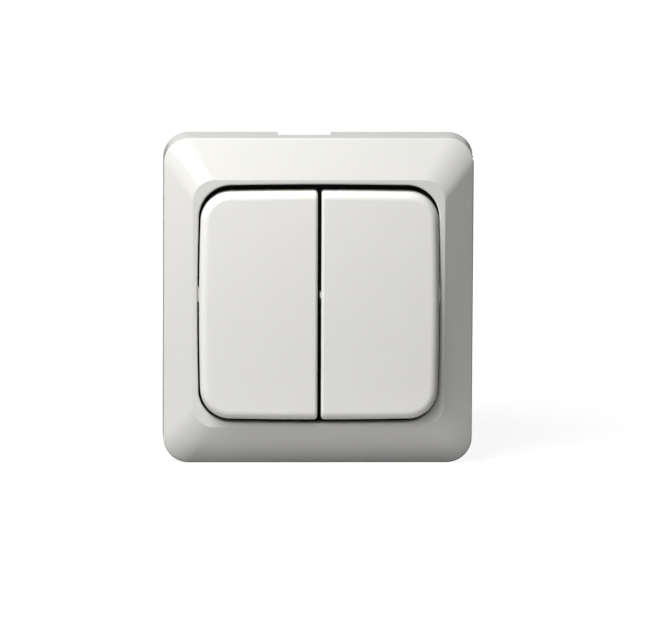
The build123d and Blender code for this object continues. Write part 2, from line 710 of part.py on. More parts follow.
# Moulded housing in the wall box, with a chamber for each lever and a pocket for each clamp
with BuildPart() as insert_base:
    with BuildSketch(front(-BASE_DEPTH)):
        outline = Rectangle(BASE_WIDTH, BASE_HEIGHT)
        chamfer(outline.vertices(), BASE_CHAMFER)
    extrude(amount=BASE_DEPTH)
    fillet(insert_base.faces().sort_by(Axis.Y)[-1].edges(), BASE_EDGE_RADIUS)
    with BuildSketch(front(0)):
        with GridLocations(GANG_PITCH, 0, 2, 1):
            Rectangle(CHAMBER_WIDTH, 2 * CHAMBER_HALF_LENGTH)
        with GridLocations(GANG_PITCH, 2 * CHAMBER_HALF_LENGTH, 2, 2):
            Rectangle(STRIP_WIDTH + 2 * POCKET_CLEARANCE, 2 * (POCKET_START - CHAMBER_HALF_LENGTH))
        with Locations((0, RAIL_BAR_Z)):
            Rectangle(GANG_PITCH, RAIL_BAR_HEIGHT + 2 * POCKET_CLEARANCE)
    extrude(amount=STRIP_BACK, mode=Mode.SUBTRACT)
    with BuildSketch(front(0)):
        with GridLocations(GANG_PITCH, POCKET_START + POCKET_END, 2, 2):
            Rectangle(CLAMP_WIDTH + 2 * POCKET_CLEARANCE, POCKET_END - POCKET_START)
    extrude(amount=-POCKET_DEPTH, mode=Mode.SUBTRACT)
    # wire entries in the rear
    with BuildSketch(front(-BASE_DEPTH)):
        with GridLocations(GANG_PITCH, 2 * WIRE_Z, 2, 2):
            Rectangle(WIRE_ENTRY_WIDTH, WIRE_ENTRY_HEIGHT)
    extrude(amount=BASE_DEPTH - POCKET_DEPTH, mode=Mode.SUBTRACT)
    # access holes for the terminal screws, right through from top to bottom at the pockets' ends
    for up in (1, -1):
        with BuildSketch(Plane.XY.offset(up * POCKET_END)):
            with Locations((-GANG_PITCH / 2, -CLAMP_MIDDLE), (GANG_PITCH / 2, -CLAMP_MIDDLE)):
                Circle(TERMINAL_SCREW_HEAD / 2 + HEAD_CLEARANCE)
        extrude(amount=up * OUTER_WALL, mode=Mode.SUBTRACT)
    # holes for the cover screws
    with BuildSketch(front(0)):
        with Locations((COVER_SCREW_X, COVER_SCREW_Z), (-COVER_SCREW_X, -COVER_SCREW_Z)):
            Circle(COVER_SCREW_DIAMETER / 2 + SCREW_CLEARANCE)
    extrude(amount=-COVER_SCREW_LENGTH, mode=Mode.SUBTRACT)
save(insert_base, "insert_base")

# Tray on the ring, which covers the housing and holds the bearing ears
with BuildPart() as insert_cover:
    with BuildSketch(front(RING_FRONT)):
        add(cushion(TRAY_SIZE, TRAY_SIZE, TRAY_RADIUS))
    extrude(amount=COVER_THICKNESS)
    # rim that stands up behind the opening of the cover frame
    with BuildSketch(front(RING_FRONT)):
        inside = TRAY_SIZE - 2 * RIM_WALL
        add(cushion(TRAY_SIZE, TRAY_SIZE, TRAY_RADIUS))
        add(cushion(inside, inside, TRAY_RADIUS - RIM_WALL), mode=Mode.SUBTRACT)
    extrude(amount=RIM_FRONT - RING_FRONT)
    # open places for the box screws
    with BuildSketch(front(RING_FRONT)):
        with GridLocations(BOX_SCREW_SPACING, 0, 2, 1):
            Rectangle(SCREW_WINDOW_WIDTH, SCREW_WINDOW_HEIGHT)
    extrude(amount=RIM_FRONT, mode=Mode.SUBTRACT)
    # plug that fits the ring's window
    with BuildSketch(front(0)):
        add(ring_window(COVER_FIT))
    extrude(amount=RING_FRONT)
    with BuildSketch(front(0)):
        with GridLocations(GANG_PITCH, 0, 2, 1):
            Rectangle(COVER_WINDOW_WIDTH, COVER_WINDOW_HEIGHT)
    extrude(amount=COVER_FRONT, mode=Mode.SUBTRACT)
    ear_widths = {0: MIDDLE_EAR_THICKNESS}
    for sign in GANG_SIGNS.values():
        ear_widths[sign * (OUTER_EAR_X + EAR_THICKNESS / 2)] = EAR_THICKNESS
    for ear_x, ear_width in ear_widths.items():
        with BuildSketch(side(ear_x, 0, 0)):
            with BuildLine():
                Polyline(
                    (COVER_FRONT, -EAR_FOOT / 2),
                    (PIVOT_P, -EAR_RADIUS),
                    (PIVOT_P, EAR_RADIUS),
                    (COVER_FRONT, EAR_FOOT / 2),
                    close=True,
                )
            make_face()
            with Locations((PIVOT_P, 0)):
                Circle(EAR_RADIUS)
                Circle(STUB_DIAMETER / 2 + STUB_CLEARANCE, mode=Mode.SUBTRACT)
        extrude(amount=ear_width / 2, both=True)
    with BuildSketch(front(0)):
        with Locations((COVER_SCREW_X, COVER_SCREW_Z), (-COVER_SCREW_X, -COVER_SCREW_Z)):
            Circle(COVER_SCREW_DIAMETER / 2 + SCREW_CLEARANCE)
    extrude(amount=COVER_FRONT, mode=Mode.SUBTRACT)
save(insert_cover, "insert_cover")

# Two screws that draw the cover and the base together on the ring
with BuildPart() as cover_screws:
    with BuildSketch(front(COVER_FRONT + COVER_SCREW_HEAD_HEIGHT)):
        with Locations((COVER_SCREW_X, COVER_SCREW_Z), (-COVER_SCREW_X, -COVER_SCREW_Z)):
            Circle(COVER_SCREW_HEAD / 2)
    extrude(amount=-COVER_SCREW_HEAD_HEIGHT)
    with BuildSketch(front(COVER_FRONT)):
        with Locations((COVER_SCREW_X, COVER_SCREW_Z), (-COVER_SCREW_X, -COVER_SCREW_Z)):
            Circle(COVER_SCREW_DIAMETER / 2)
    extrude(amount=-COVER_SCREW_LENGTH)
    with BuildSketch(front(COVER_FRONT + COVER_SCREW_HEAD_HEIGHT)):
        with Locations((COVER_SCREW_X, COVER_SCREW_Z), (-COVER_SCREW_X, -COVER_SCREW_Z)):
            Rectangle(COVER_SCREW_HEAD, SCREW_SLOT_WIDTH)
    extrude(amount=-SCREW_SLOT_DEPTH, mode=Mode.SUBTRACT)
save(cover_screws, "cover_screws")

# Four clamp screws, two above and two below
with BuildPart() as terminal_screws:
    head_start = POCKET_END
    head_end = BASE_HEIGHT / 2 - POCKET_CLEARANCE
    for up in (1, -1):
        with BuildSketch(Plane.XY.offset(up * head_end)):
            with Locations((-GANG_PITCH / 2, -CLAMP_MIDDLE), (GANG_PITCH / 2, -CLAMP_MIDDLE)):
                Circle(TERMINAL_SCREW_HEAD / 2)
        extrude(amount=up * (head_start - head_end))
        with BuildSketch(Plane.XY.offset(up * head_start)):
            with Locations((-GANG_PITCH / 2, -CLAMP_MIDDLE), (GANG_PITCH / 2, -CLAMP_MIDDLE)):
                Circle(TERMINAL_SCREW_DIAMETER / 2)
        extrude(amount=-up * (POCKET_CLEARANCE + CLAMP_WALL + TERMINAL_SCREW_TIP))
        with BuildSketch(Plane.XY.offset(up * head_end)):
            with Locations((-GANG_PITCH / 2, -CLAMP_MIDDLE), (GANG_PITCH / 2, -CLAMP_MIDDLE)):
                Rectangle(TERMINAL_SCREW_HEAD, SCREW_SLOT_WIDTH)
        extrude(amount=-up * SCREW_SLOT_DEPTH, mode=Mode.SUBTRACT)
save(terminal_screws, "terminal_screws")
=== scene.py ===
# %% [markdown]
# # A light switch with two rockers, dressed and lit
#
# The switch itself comes from its construction model: every piece is already there at its real size.
# This script gives the pieces their finishes, winds finer springs, adds the threads of the screws,
# and sets up the camera and the lamps.  Everything is in metres.  X runs to the right, Y into the
# wall and Z up, and the rockers face -Y.

# %% Load the fixed frame
import math

import bpy
from mathutils import Matrix, Vector


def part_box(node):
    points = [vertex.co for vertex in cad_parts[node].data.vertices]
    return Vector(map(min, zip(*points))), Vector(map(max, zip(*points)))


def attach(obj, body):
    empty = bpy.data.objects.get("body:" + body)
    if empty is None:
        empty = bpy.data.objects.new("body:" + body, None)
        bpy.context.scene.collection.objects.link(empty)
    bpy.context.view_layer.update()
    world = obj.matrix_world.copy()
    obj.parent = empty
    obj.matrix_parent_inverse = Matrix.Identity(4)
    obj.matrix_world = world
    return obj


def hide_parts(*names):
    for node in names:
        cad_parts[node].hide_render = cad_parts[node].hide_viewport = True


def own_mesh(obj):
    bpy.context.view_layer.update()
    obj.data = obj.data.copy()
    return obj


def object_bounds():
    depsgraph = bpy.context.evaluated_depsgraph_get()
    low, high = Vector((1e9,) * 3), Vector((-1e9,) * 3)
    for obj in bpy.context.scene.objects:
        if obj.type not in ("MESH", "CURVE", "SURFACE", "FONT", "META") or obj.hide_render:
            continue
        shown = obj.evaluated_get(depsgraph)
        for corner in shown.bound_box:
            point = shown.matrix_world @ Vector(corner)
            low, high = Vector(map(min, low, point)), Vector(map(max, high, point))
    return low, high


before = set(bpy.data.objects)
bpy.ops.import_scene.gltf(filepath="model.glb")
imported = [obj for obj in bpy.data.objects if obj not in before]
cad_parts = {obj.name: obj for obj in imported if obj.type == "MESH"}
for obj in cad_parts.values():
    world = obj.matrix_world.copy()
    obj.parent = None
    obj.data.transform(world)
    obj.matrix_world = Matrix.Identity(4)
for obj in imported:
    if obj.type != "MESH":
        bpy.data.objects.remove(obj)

cad_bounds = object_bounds()
print("pieces:", len(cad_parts), "box:", [list(map(float, corner)) for corner in cad_bounds])

# %% [markdown]
# ## The camera
#
# The photograph was taken with a long lens from a little above and a little to the left.  A camera
# far away with a long lens keeps the sides of the frame almost parallel, as they are in the picture.
#
# A camera can be pushed about by hand until the picture fits.  Here its place is worked out from
# two angles round the middle of the frame's front edge, and it aims at a point beside that middle,
# because the switch isn't in the centre of the picture.  Each of these values can be read off the
# photograph and changed by itself.

# %% Camera
PICTURE_WIDTH = 654
PIXELS_PER_METRE = 3866
CAMERA_DISTANCE = 2.5
CAMERA_REACH = 20.0
CAMERA_ELEVATION = math.radians(11.0)
CAMERA_AZIMUTH = math.radians(-1.6)
CAMERA_ROLL = math.radians(0.3)
SENSOR_WIDTH = 36.0
FRAME_MIDDLE = Vector((0.0, -0.009, 0.0))
MIDDLE_RIGHT_OF_CENTRE = -8.7
MIDDLE_BELOW_CENTRE = -9.2


def direction_from(azimuth, elevation):
    """Unit vector from the switch towards a place seen at these two angles."""
    level = math.cos(elevation)
    return Vector((level * math.sin(azimuth), -level * math.cos(azimuth), math.sin(elevation)))


def look_along(back, roll):
    """Rotation of a camera or lamp whose own Z axis points along back."""
    return (back.to_track_quat("Z", "Y").to_matrix() @ Matrix.Rotation(roll, 3, "Z")).to_4x4()


back = direction_from(CAMERA_AZIMUTH, CAMERA_ELEVATION)
turn = look_along(back, CAMERA_ROLL)
right = turn.to_3x3() @ Vector((1, 0, 0))
up = turn.to_3x3() @ Vector((0, 1, 0))
aim = FRAME_MIDDLE - right * (MIDDLE_RIGHT_OF_CENTRE / PIXELS_PER_METRE)
aim += up * (MIDDLE_BELOW_CENTRE / PIXELS_PER_METRE)
camera_data = bpy.data.cameras.new("camera")
camera_data.sensor_width = SENSOR_WIDTH
camera_data.lens = camera_data.sensor_width * CAMERA_DISTANCE * PIXELS_PER_METRE / PICTURE_WIDTH
camera_data.clip_end = CAMERA_REACH
camera = bpy.data.objects.new("camera", camera_data)
camera.matrix_world = Matrix.Translation(aim + back * CAMERA_DISTANCE) @ turn
bpy.context.scene.collection.objects.link(camera)
bpy.context.scene.camera = camera
print("lens:", round(camera_data.lens), "mm")

# %% [markdown]
# ## Light
#
# In the photograph the top and left bevels are bright and the right bevel is in half shade.  A white
# spot lies in the frame's top left corner, where the rounded bevel mirrors a lamp.  Two soft lamps
# stand high at the left, and the one nearer to the camera is in the place that the corner mirrors.
# They are only half a metre away, so the light falls off down the switch.
#
# A third lamp stands behind at the right, so that the housing and the mounting ring can be seen
# from the back.  It is lower than the switch's top, and so it gives nothing to the surfaces that the
# picture shows.
#
# A sun lamp would be simpler, but its light doesn't fall off and its reflection is a point.  Square
# area lamps give soft shades, and a spot of a size that can be set.

# %% Lamps
LAMP_DISTANCE = 0.5
LAMPS = {
    "left_lamp": {"azimuth": -44, "elevation": 54, "size": 0.20, "power": 1.55},
    "corner_lamp": {"azimuth": -33, "elevation": 40, "size": 0.36, "power": 2.38},
    "back_lamp": {"azimuth": 150, "elevation": 0, "size": 0.08, "power": 1.20},
}


def add_lamp(name, azimuth, elevation, size, power):
    """Square area lamp that shines on the switch from one direction, in degrees."""
    data = bpy.data.lights.new(name, "AREA")
    data.shape = "SQUARE"
    data.size = size
    data.energy = power
    lamp = bpy.data.objects.new(name, data)
    towards = direction_from(math.radians(azimuth), math.radians(elevation))
    lamp.matrix_world = Matrix.Translation(towards * LAMP_DISTANCE) @ look_along(towards, 0.0)
    bpy.context.scene.collection.objects.link(lamp)
    return lamp


for name, settings in LAMPS.items():
    lamp = add_lamp(name, **settings)
    print(name, "at", [round(value, 2) for value in lamp.location])

# %% [markdown]
# ## One surface, three answers
#
# The background has to be plain white in the picture, but a white room would throw so much light on
# the switch that the shades of its bevels would be washed out.  A Light Path node tells the rays
# apart: light on matt surfaces, reflections, and what the camera sees itself.  The helper below
# mixes three shaders by it.  It stays out of any node group, because an export can't read a Light
# Path node inside one.

# %% Helpers for nodes
def new_nodes(tree):
    """Clear a node tree and return a function that adds a node with its settings."""
    tree.nodes.clear()

    def add(kind, **settings):
        node = tree.nodes.new(kind)
        for key, value in settings.items():
            setattr(node, key, value)
        return node

    return add


def grey(level):
    """Neutral colour of one level."""
    return (level, level, level, 1.0)


def by_ray(add, link, plain, mirrored, seen):
    """Shader socket that is plain to matt light, mirrored to reflections and seen by the camera."""
    path = add("ShaderNodeLightPath")
    clear_or_gloss = add("ShaderNodeMath", operation="MAXIMUM")
    link(path.outputs["Is Glossy Ray"], clear_or_gloss.inputs[0])
    link(path.outputs["Is Transmission Ray"], clear_or_gloss.inputs[1])
    camera_ray = path.outputs["Is Camera Ray"]
    below = plain
    for ray, above in ((clear_or_gloss.outputs[0], mirrored), (camera_ray, seen)):
        choice = add("ShaderNodeMixShader")
        link(ray, choice.inputs["Fac"])
        link(below, choice.inputs[1])
        link(above, choice.inputs[2])
        below = choice.outputs["Shader"]
    return below


print("shaders can be chosen by ray")

# %% [markdown]
# ## A white world that gives little light
#
# The camera sees the world as plain white.  Reflections see the same world at half strength, so
# that metal and gloss mirror a pale background, and the narrow top wall, which is seen at a flat
# angle, still stands out from the white behind it.  Matt surfaces get hardly any light from it.

# %% World
WORLD_LIGHT = 0.02
WORLD_MIRRORED = 0.5
WORLD_SEEN = 1.0

world = bpy.data.worlds.new("studio")
world.use_nodes = True
add, link = new_nodes(world.node_tree), world.node_tree.links.new
glows = []
for level in (WORLD_LIGHT, WORLD_MIRRORED, WORLD_SEEN):
    glow = add("ShaderNodeBackground")
    glow.inputs["Color"].default_value = grey(1.0)
    glow.inputs["Strength"].default_value = level
    glows.append(glow.outputs["Background"])
out = add("ShaderNodeOutputWorld")
link(by_ray(add, link, *glows), out.inputs["Surface"])
bpy.context.scene.world = world
print("world light on matt surfaces:", WORLD_LIGHT, "and in reflections:", WORLD_MIRRORED)

# %% [markdown]
# ## What the floor is made of
#
# The switch stands on its lower edge on a plain white floor.  What the camera sees of the floor is a
# glow plus a thin coat of matt paint that the lamps light.  Near the switch the two add up to white,
# and where its shadow falls the paint's share is missing, so the shadow stays as a faint grey.
# Further off the glow alone is white.  Matt paint alone would be simpler, but it is only as white as
# the lamps make it, and they would have to be too bright for the switch.
#
# What the floor throws back at the switch is set apart from that, because the lower bevel shows how
# little it is.

# %% Floor material
FLOOR_PAINT = 0.14
FLOOR_MIRRORED = 0.15
GLOW_NEAR = 0.91
GLOW_RADII = (0.07, 0.25)


def floor_material(name, bounce, glow):
    """Floor that is paint of one grey to matt light, or a glow of its own where glow isn't 0."""
    material = bpy.data.materials.new(name)
    material.use_nodes = True
    add, link = new_nodes(material.node_tree), material.node_tree.links.new
    plain = add("ShaderNodeEmission") if glow else add("ShaderNodeBsdfDiffuse")
    plain.inputs["Color"].default_value = grey(glow or bounce)
    mirrored = add("ShaderNodeEmission")
    mirrored.inputs["Strength"].default_value = FLOOR_MIRRORED
    place = add("ShaderNodeTexCoord")
    distance = add("ShaderNodeVectorMath", operation="LENGTH")
    link(place.outputs["Object"], distance.inputs[0])
    fade = add("ShaderNodeMapRange", interpolation_type="SMOOTHSTEP")
    for socket, value in zip(("From Min", "From Max", "To Min"), (*GLOW_RADII, GLOW_NEAR)):
        fade.inputs[socket].default_value = value
    link(distance.outputs["Value"], fade.inputs["Value"])
    seen_glow = add("ShaderNodeEmission")
    link(fade.outputs["Result"], seen_glow.inputs["Strength"])
    paint = add("ShaderNodeBsdfDiffuse")
    paint.inputs["Color"].default_value = grey(FLOOR_PAINT)
    seen = add("ShaderNodeAddShader")
    link(seen_glow.outputs["Emission"], seen.inputs[0])
    link(paint.outputs["BSDF"], seen.inputs[1])
    out = add("ShaderNodeOutputMaterial")
    sides = plain.outputs[0], mirrored.outputs["Emission"], seen.outputs["Shader"]
    link(by_ray(add, link, *sides), out.inputs["Surface"])
    return material


print("floor glow:", GLOW_NEAR, "near the switch and 1.0 from", GLOW_RADII[1], "m on")

# %% [markdown]
# ## The floor's three pieces
#
# The lower bevel is brighter at its inner edge than at its outer edge in the photograph.  That comes
# from light close in front of the switch, which the outer edge sees only at a flat angle.  A narrow
# bright strip in front of the frame gives that light, and the floor right under the frame is black
# to everything but the camera.  A lamp below could do the same, but it would show in the picture.
# That black under the frame is painted shadow: it stands in for the switch's own shadow on the
# floor.

# %% Floor
FLOOR_GAP = 0.0002
FLOOR_HALF = 6.0
FLOOR_BOUNCE = 0.15
UNDER_HALF = 0.08
STRIP_START = 0.017
STRIP_END = 0.031
STRIP_HALF = 0.3
STRIP_GLOW = 1.0


def floor_piece(name, low, high, height, bounce=0.0, glow=0.0):
    """Level rectangle between two corners (x, y), which isn't part of the switch."""
    mesh = bpy.data.meshes.new(name)
    corners = [low, (high[0], low[1]), high, (low[0], high[1])]
    mesh.from_pydata([(x, y, height) for x, y in corners], [], [(0, 1, 2, 3)])
    mesh.materials.append(floor_material(name, bounce, glow))
    piece = bpy.data.objects.new(name, mesh)
    bpy.context.scene.collection.objects.link(piece)


ground = cad_bounds[0][2] - FLOOR_GAP
above = ground + FLOOR_GAP / 2
far_corner = (FLOOR_HALF, FLOOR_HALF)
floor_piece("floor", (-FLOOR_HALF, -FLOOR_HALF), far_corner, ground, bounce=FLOOR_BOUNCE)
# Painted shadow: the floor under the frame is black to the lamps' light, in place of the switch's
# shadow.
floor_piece("painted_shadow_floor", (-UNDER_HALF, -STRIP_START), (UNDER_HALF, UNDER_HALF), above)
strip = (-STRIP_HALF, -STRIP_END), (STRIP_HALF, -STRIP_START)
floor_piece("light_strip", *strip, above, glow=STRIP_GLOW)
print("floor at", round(ground * 1000, 2), "mm")

# %% [markdown]
# ## A shared group: moulded grain
#
# Every plastic piece has a skin from its mould: a faint waviness that shows only in reflections, and
# a much finer grain.  Both could be modelled, but they are at most a hundredth of a millimetre deep,
# so a bumped normal is enough.  All the plastics need the same two layers at different strengths, so
# they are one node group.  It reads Object coordinates, because the pieces lie at the origin and are
# in metres, and so one setting has the same real scale on every piece.

# %% Moulded grain group
WAVE_HEIGHT = 0.00001
GRAIN_HEIGHT = 0.000002
GRAIN_SIZES = [
    ("Wave size", 0.006),
    ("Wave height", WAVE_HEIGHT),
    ("Grain size", 0.0003),
    ("Grain height", GRAIN_HEIGHT),
]
WAVE_DETAIL = 2.0
GRAIN_DETAIL = 4.0


def new_group(name, inputs, outputs):
    """Shader node group with float inputs (name, value) and outputs (name, kind)."""
    group = bpy.data.node_groups.new(name, "ShaderNodeTree")
    for label, value in inputs:
        socket = group.interface.new_socket(label, in_out="INPUT", socket_type="NodeSocketFloat")
        socket.default_value = value
    for label, kind in outputs:
        group.interface.new_socket(label, in_out="OUTPUT", socket_type=kind)
    return group


def build_grain():
    """Group that gives a bumped normal and a mask of slow roughness changes."""
    results = [("Normal", "NodeSocketVector"), ("Cloud", "NodeSocketFloat")]
    group = new_group("moulded_grain", GRAIN_SIZES, results)
    add, link = new_nodes(group), group.links.new
    start = add("NodeGroupInput")
    place = add("ShaderNodeTexCoord")
    noises, bumps = [], []
    for layer, detail in (("Wave", WAVE_DETAIL), ("Grain", GRAIN_DETAIL)):
        scale = add("ShaderNodeMath", operation="DIVIDE")
        scale.inputs[0].default_value = 1.0
        link(start.outputs[layer + " size"], scale.inputs[1])
        noise = add("ShaderNodeTexNoise")
        noise.inputs["Detail"].default_value = detail
        link(place.outputs["Object"], noise.inputs["Vector"])
        link(scale.outputs[0], noise.inputs["Scale"])
        bump = add("ShaderNodeBump")
        link(noise.outputs["Fac"], bump.inputs["Height"])
        link(start.outputs[layer + " height"], bump.inputs["Distance"])
        noises.append(noise)
        bumps.append(bump)
    link(bumps[0].outputs["Normal"], bumps[1].inputs["Normal"])
    finish = add("NodeGroupOutput")
    link(bumps[1].outputs["Normal"], finish.inputs["Normal"])
    link(noises[0].outputs["Fac"], finish.inputs["Cloud"])
    return group


grain_group = build_grain()
print("group sockets:", [item.name for item in grain_group.interface.items_tree])

# %% [markdown]
# ## A shared group: drawn lines
#
# A polished mould leaves faint streaks that run one way, and so does the rolling of sheet metal.
# Both are noise that is drawn out along an axis.  A Wave texture would give lines that are too even.
# The group divides the Object coordinates by the size of a streak along X, Y and Z, so that long
# streaks need only a long size on their own axis.

# %% Drawn lines group
LINE_SIZE = 0.0005
LINE_DETAIL = 3.0


def build_lines():
    """Group that gives a mask of streaks from their size along each axis, in metres."""
    sizes = [("Size " + axis, LINE_SIZE) for axis in "XYZ"]
    group = new_group("drawn_lines", sizes, [("Lines", "NodeSocketFloat")])
    add, link = new_nodes(group), group.links.new
    start = add("NodeGroupInput")
    place = add("ShaderNodeTexCoord")
    size = add("ShaderNodeCombineXYZ")
    for axis in "XYZ":
        link(start.outputs["Size " + axis], size.inputs[axis])
    scaled = add("ShaderNodeVectorMath", operation="DIVIDE")
    link(place.outputs["Object"], scaled.inputs[0])
    link(size.outputs["Vector"], scaled.inputs[1])
    noise = add("ShaderNodeTexNoise")
    noise.inputs["Scale"].default_value = 1.0
    noise.inputs["Detail"].default_value = LINE_DETAIL
    link(scaled.outputs["Vector"], noise.inputs["Vector"])
    finish = add("NodeGroupOutput")
    link(noise.outputs["Fac"], finish.inputs["Lines"])
    return group


def streaks(add, sizes):
    """Socket of the drawn lines group with its sizes along X, Y and Z."""
    node = add("ShaderNodeGroup", node_tree=lines_group)
    for axis, value in zip("XYZ", sizes):
        node.inputs["Size " + axis].default_value = value
    return node.outputs["Lines"]


lines_group = build_lines()
print("groups:", grain_group.name, lines_group.name)

# %% [markdown]
# ## Moulded plastic
#
# The frame is polished, the rockers are satin, and the pieces behind are matt.  A plain colour with
# one roughness would look like paint on a screen.  Real moulded plastic is a little uneven, so the
# base colour has a very slight mottle, the roughness wanders a little with it and with upright
# streaks from the polished mould, and the grain group gives the surface.  One function makes all
# the plastics, and each has its own values.

# %% Plastic function
PLASTIC_IOR = 1.5
MOTTLE = (0.985, 1.01)
NOISE_RANGE = (0.3, 0.7)
STREAK_SIZES = (0.0012, 0.0012, 0.03)
STREAK_SHARE = 0.5


def roughness_range(add, mask, lowest, highest, limits=(0.0, 1.0)):
    """Map Range node that turns a mask between its limits into a roughness."""
    rough = add("ShaderNodeMapRange")
    for socket, value in zip(("From Min", "From Max"), limits):
        rough.inputs[socket].default_value = value
    rough.inputs["To Min"].default_value = lowest
    rough.inputs["To Max"].default_value = highest
    rough.id_data.links.new(mask, rough.inputs["Value"])
    return rough.outputs["Result"]


def moulded_plastic(
    name, colour, roughness, streak=0.1, wave_height=WAVE_HEIGHT, grain_height=GRAIN_HEIGHT
):
    """Plastic with a moulded skin.  Colour is linear red, green and blue."""
    material = bpy.data.materials.new(name)
    material.use_nodes = True
    add, link = new_nodes(material.node_tree), material.node_tree.links.new
    shader = add("ShaderNodeBsdfPrincipled")
    shader.inputs["IOR"].default_value = PLASTIC_IOR
    skin = add("ShaderNodeGroup", node_tree=grain_group)
    skin.inputs["Wave height"].default_value = wave_height
    skin.inputs["Grain height"].default_value = grain_height
    tint = add("ShaderNodeMix", data_type="RGBA")
    for socket, share in zip((6, 7), MOTTLE):
        tint.inputs[socket].default_value = (*[level * share for level in colour], 1.0)
    link(skin.outputs["Cloud"], tint.inputs[0])
    uneven = add("ShaderNodeMix", data_type="FLOAT")
    uneven.inputs[0].default_value = STREAK_SHARE
    link(skin.outputs["Cloud"], uneven.inputs[2])
    link(streaks(add, STREAK_SIZES), uneven.inputs[3])
    ends = roughness * (1 - streak), roughness * (1 + streak)
    rough = roughness_range(add, uneven.outputs[0], *ends, limits=NOISE_RANGE)
    link(tint.outputs[2], shader.inputs["Base Color"])
    link(rough, shader.inputs["Roughness"])
    link(skin.outputs["Normal"], shader.inputs["Normal"])
    out = add("ShaderNodeOutputMaterial")
    link(shader.outputs["BSDF"], out.inputs["Surface"])
    return material


print("mottle of the plastics:", MOTTLE)

# %% [markdown]
# ## The six plastics
#
# The whites are warm and come from the shades of the photograph.  The frame and the rockers are the
# same white plastic, and the frame's darker white is painted shade, so that the rocker faces come
# out brighter than the frame.  The carriers behind the rockers are almost black, because only dark
# gaps show round the rockers.  They are black plastic, and part of their black is painted shade,
# which stands in for the shadow deep in those narrow gaps.

# %% Plastics
# FRAME_WHITE is darker than ROCKER_WHITE as painted shade, though both are the same white plastic.
FRAME_WHITE = (0.675, 0.668, 0.639)
ROCKER_WHITE = (0.763, 0.755, 0.725)
HOUSING_GREY = (0.58, 0.58, 0.55)
COVER_BLACK = (0.022, 0.022, 0.024)
# CARRIER_BLACK is black plastic and partly painted shade for the deep gaps round the rockers.
CARRIER_BLACK = (0.035, 0.035, 0.037)
PLUNGER_CREAM = (0.62, 0.58, 0.48)
SATIN_GRAIN = 0.000004
MATT_GRAIN = 0.000008

frame_plastic = moulded_plastic("frame_plastic", FRAME_WHITE, 0.12, streak=0.3)
rocker_plastic = moulded_plastic("rocker_plastic", ROCKER_WHITE, 0.42, grain_height=SATIN_GRAIN)
housing_plastic = moulded_plastic("housing_plastic", HOUSING_GREY, 0.5, grain_height=MATT_GRAIN)
cover_plastic = moulded_plastic("cover_plastic", COVER_BLACK, 0.45, grain_height=MATT_GRAIN)
carrier_plastic = moulded_plastic("carrier_plastic", CARRIER_BLACK, 0.45, grain_height=MATT_GRAIN)
plunger_plastic = moulded_plastic("plunger_plastic", PLUNGER_CREAM, 0.4)
print("frame white:", FRAME_WHITE, "rocker white:", ROCKER_WHITE)

# %% [markdown]
# ## Metals
#
# Sheet steel with a zinc coat has large pale crystals and a fine rolling grain.  Copper alloy, brass
# and silver are smoother, with a slight tarnish that makes patches of them darker and duller.  An
# image would do for the crystals, but the cells of a Voronoi texture stay sharp at any distance, and
# each cell carries random colours that can choose its tint and its roughness.  The rolling grain is
# the group of drawn lines.

# %% Metal function
PATCH_ROUGHNESS = (0.75, 1.3)
ROLLING_WIDTH = 0.00025
ROLLING_HEIGHT = 0.000004


def metal(name, colour, tarnish, roughness, patch_size, line_length):
    """Metal with patches of a second colour and rolling grain of one length along X."""
    material = bpy.data.materials.new(name)
    material.use_nodes = True
    add, link = new_nodes(material.node_tree), material.node_tree.links.new
    shader = add("ShaderNodeBsdfPrincipled")
    shader.inputs["Metallic"].default_value = 1.0
    place = add("ShaderNodeTexCoord")
    patches = add("ShaderNodeTexVoronoi")
    patches.inputs["Scale"].default_value = 1.0 / patch_size
    link(place.outputs["Object"], patches.inputs["Vector"])
    weight = add("ShaderNodeSeparateColor")
    link(patches.outputs["Color"], weight.inputs["Color"])
    tint = add("ShaderNodeMix", data_type="RGBA")
    tint.inputs[6].default_value = (*colour, 1.0)
    tint.inputs[7].default_value = (*tarnish, 1.0)
    link(weight.outputs["Red"], tint.inputs[0])
    ends = [roughness * share for share in PATCH_ROUGHNESS]
    rough = roughness_range(add, weight.outputs["Green"], *ends)
    relief = add("ShaderNodeBump")
    relief.inputs["Distance"].default_value = ROLLING_HEIGHT
    lines = streaks(add, (line_length, ROLLING_WIDTH, ROLLING_WIDTH))
    link(lines, relief.inputs["Height"])
    link(tint.outputs[2], shader.inputs["Base Color"])
    link(rough, shader.inputs["Roughness"])
    link(relief.outputs["Normal"], shader.inputs["Normal"])
    out = add("ShaderNodeOutputMaterial")
    link(shader.outputs["BSDF"], out.inputs["Surface"])
    return material


print("metal patches vary the roughness by", PATCH_ROUGHNESS)

# %% [markdown]
# ## The six metals
#
# Each line of the table gives a clean colour, a tarnished one, the roughness, and the sizes of the
# patches and of the drawn lines in metres.  The mounting ring has the large crystals of a zinc coat
# and is the dullest.

# %% Metals
METALS = {
    "ring_steel": ((0.54, 0.55, 0.54), (0.46, 0.48, 0.48), 0.60, 0.004, 0.003),
    "screw_steel": ((0.62, 0.62, 0.60), (0.50, 0.50, 0.47), 0.30, 0.001, 0.0003),
    "spring_steel": ((0.42, 0.42, 0.43), (0.34, 0.34, 0.35), 0.35, 0.001, 0.0003),
    "copper_strip": ((0.72, 0.40, 0.24), (0.55, 0.30, 0.18), 0.34, 0.003, 0.0015),
    "clamp_brass": ((0.78, 0.60, 0.28), (0.62, 0.46, 0.20), 0.36, 0.002, 0.001),
    "contact_silver": ((0.86, 0.86, 0.84), (0.76, 0.75, 0.71), 0.22, 0.001, 0.0003),
}

metals = {name: metal(name, *values) for name, values in METALS.items()}
print("metals:", list(metals))

# %% [markdown]
# ## Giving each piece its finish
#
# A piece of the construction model keeps its mesh, and only its material slots are filled.  The
# names of the pieces say what they are, so a table from the start of the name to the finish is
# enough, and it covers the left and the right one alike.  The longest start that fits is taken,
# because the name of a rocker's carrier also starts with rocker.

